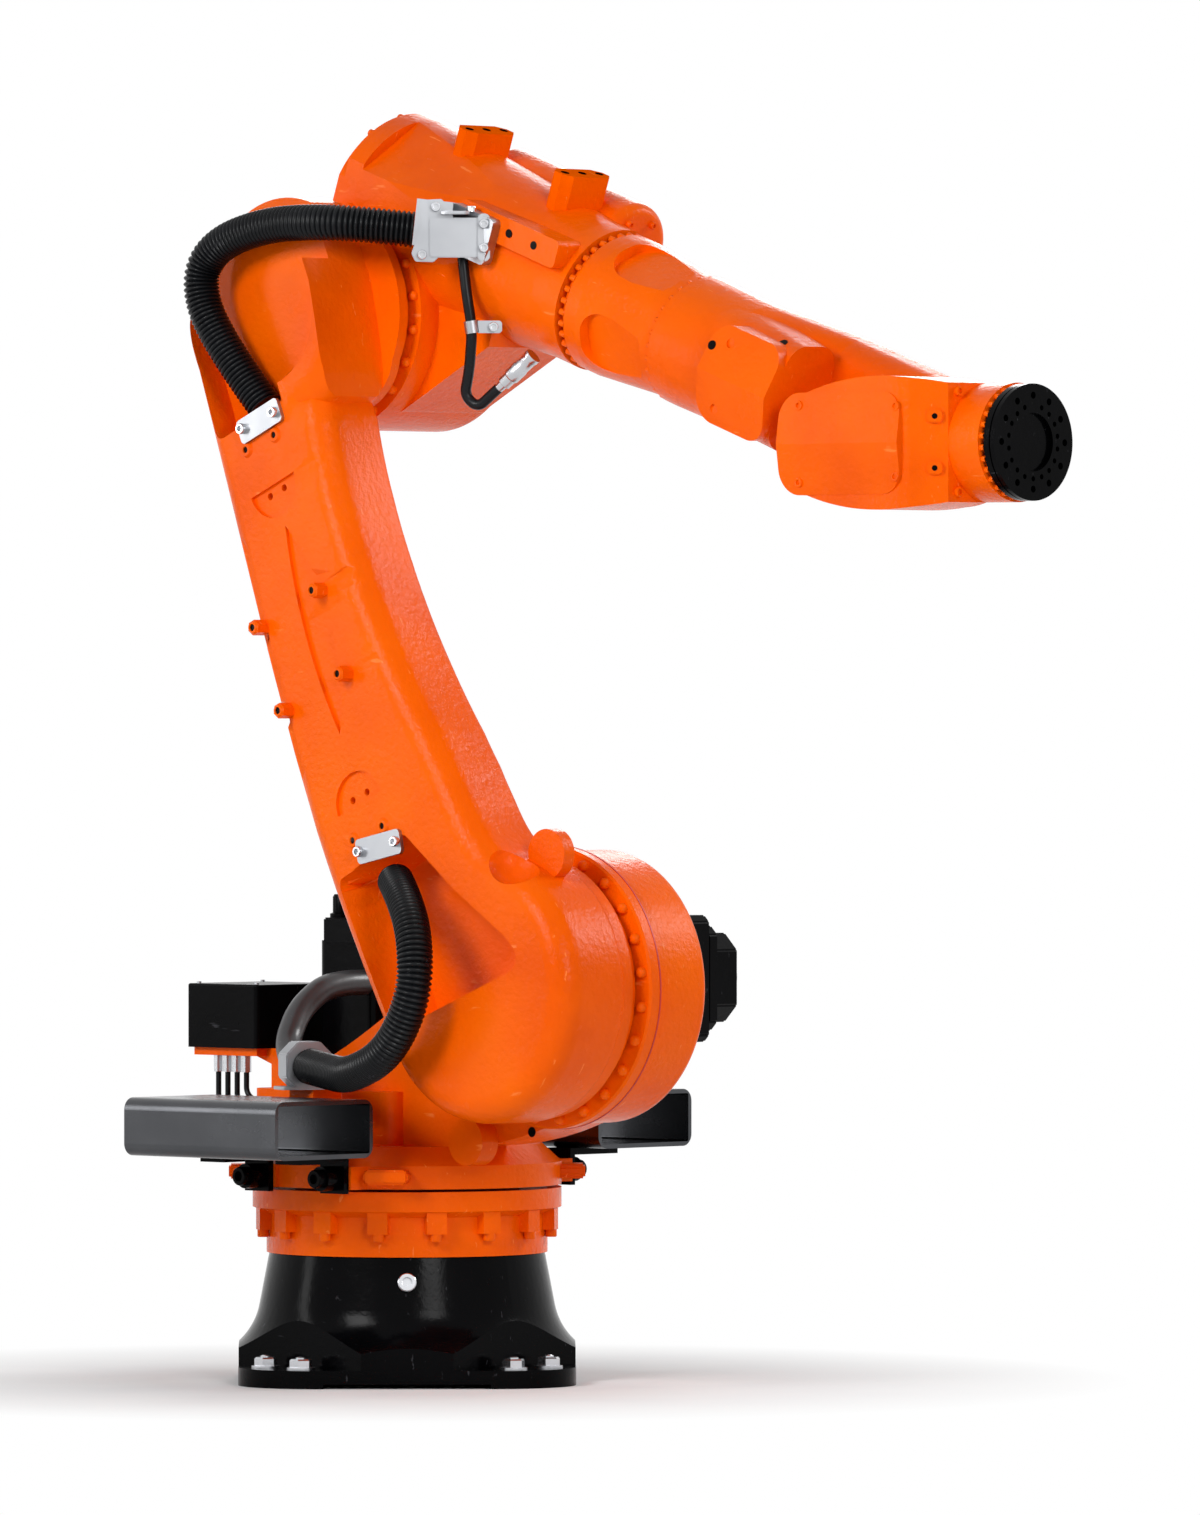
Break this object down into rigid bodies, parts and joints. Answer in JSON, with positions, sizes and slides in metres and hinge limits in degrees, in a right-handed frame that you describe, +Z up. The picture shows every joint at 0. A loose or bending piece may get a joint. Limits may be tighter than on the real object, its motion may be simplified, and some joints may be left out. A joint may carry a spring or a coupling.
{
  "type": "six-axis industrial robot arm",
  "caption": "Orange six-axis industrial robot arm on a black cast pedestal, with side-mounted link arm, corrugated hoses, fork pockets and a drilled tool flange",
  "frame": {"origin": "on the floor, on the turning axis, at the centre of the foot's bolt pattern", "axes": "+X the way the arm reaches at rest, +Y the arm's left, +Z up"},
  "size_m": [1.975, 1.052, 2.261],
  "materials": {
    "orange_paint": "gloss orange paint over a cast surface",
    "black_paint": "gloss black paint",
    "black_plastic": "satin black",
    "dark_steel": "dark grey steel with scratches",
    "aluminium": "machined, fine scratches",
    "plated_steel": "bright plated",
    "black_hose": "satin corrugated plastic",
    "grey_conduit": "grey plastic"
  },
  "bodies": {
    "base": {"pedestal": "black_paint", "gear_ring": "orange_paint"},
    "carousel": {"column": "orange_paint", "shoulder_drum": "orange_paint", "shoulder_motor": "black_paint", "column_motor": "black_paint", "connection_box": "black_plastic", "box_lid": "black_plastic", "box_bracket": "orange_paint", "box_glands": "plated_steel", "box_leads": "black_hose", "fork_pocket_right": "dark_steel", "fork_pocket_left": "dark_steel", "fork_brackets_right": "black_paint", "fork_brackets_left": "black_paint", "column_hose_clamp": "aluminium", "clamp_post": "orange_paint", "conduit_loop": "grey_conduit", "lower_hose": "black_hose"},
    "link": {"link_arm": "orange_paint", "lower_clamp_plate": "aluminium", "upper_clamp_plate": "aluminium", "upper_hose": "black_hose"},
    "elbow": {"elbow_housing": "orange_paint", "rear_cover": "orange_paint", "motor_cover": "orange_paint", "mounting_block_rear": "orange_paint", "mounting_block_front": "orange_paint", "side_rail": "orange_paint", "angle_bracket": "aluminium", "elbow_hose_clamp": "aluminium", "elbow_cable": "black_hose", "cable_clip": "aluminium", "plug_connectors": "plated_steel"},
    "wrist": {"wrist_tube": "orange_paint", "wrist_side_cover": "orange_paint"},
    "wrist_pitch": {"pitch_housing": "orange_paint", "pitch_cover": "orange_paint", "flange_ring": "orange_paint"},
    "tool": {"tool_flange": "black_paint"}
  },
  "joints": [
    {"name": "axis_1", "type": "hinge", "parent": "base", "child": "carousel", "pos_m": [0, 0, 0.351], "axis": [0, 0, 1], "range_deg": [-185, 185]},
    {"name": "axis_2", "type": "hinge", "parent": "carousel", "child": "link", "pos_m": [0.495, -0.15, 0.712], "axis": [0, 1, 0], "range_deg": [-27, 108], "deforming": ["lower_hose"]},
    {"name": "axis_3", "type": "hinge", "parent": "link", "child": "elbow", "pos_m": [-0.02508, -0.15, 1.90016], "axis": [0, -1, 0], "range_deg": [-21.9, 208.1], "deforming": ["upper_hose"]},
    {"name": "axis_4", "type": "hinge", "parent": "elbow", "child": "wrist", "pos_m": [0.50689, 0, 1.91652], "axis": [0.9426, 0, -0.3338], "range_deg": [-350, 350]},
    {"name": "axis_5", "type": "hinge", "parent": "wrist", "child": "wrist_pitch", "pos_m": [1.24404, 0, 1.65548], "axis": [0, -1, 0], "range_deg": [-137.5, 98.5]},
    {"name": "axis_6", "type": "hinge", "parent": "wrist_pitch", "child": "tool", "pos_m": [1.47904, 0, 1.65548], "axis": [1, 0, 0], "range_deg": [-350, 350]}
  ]
}
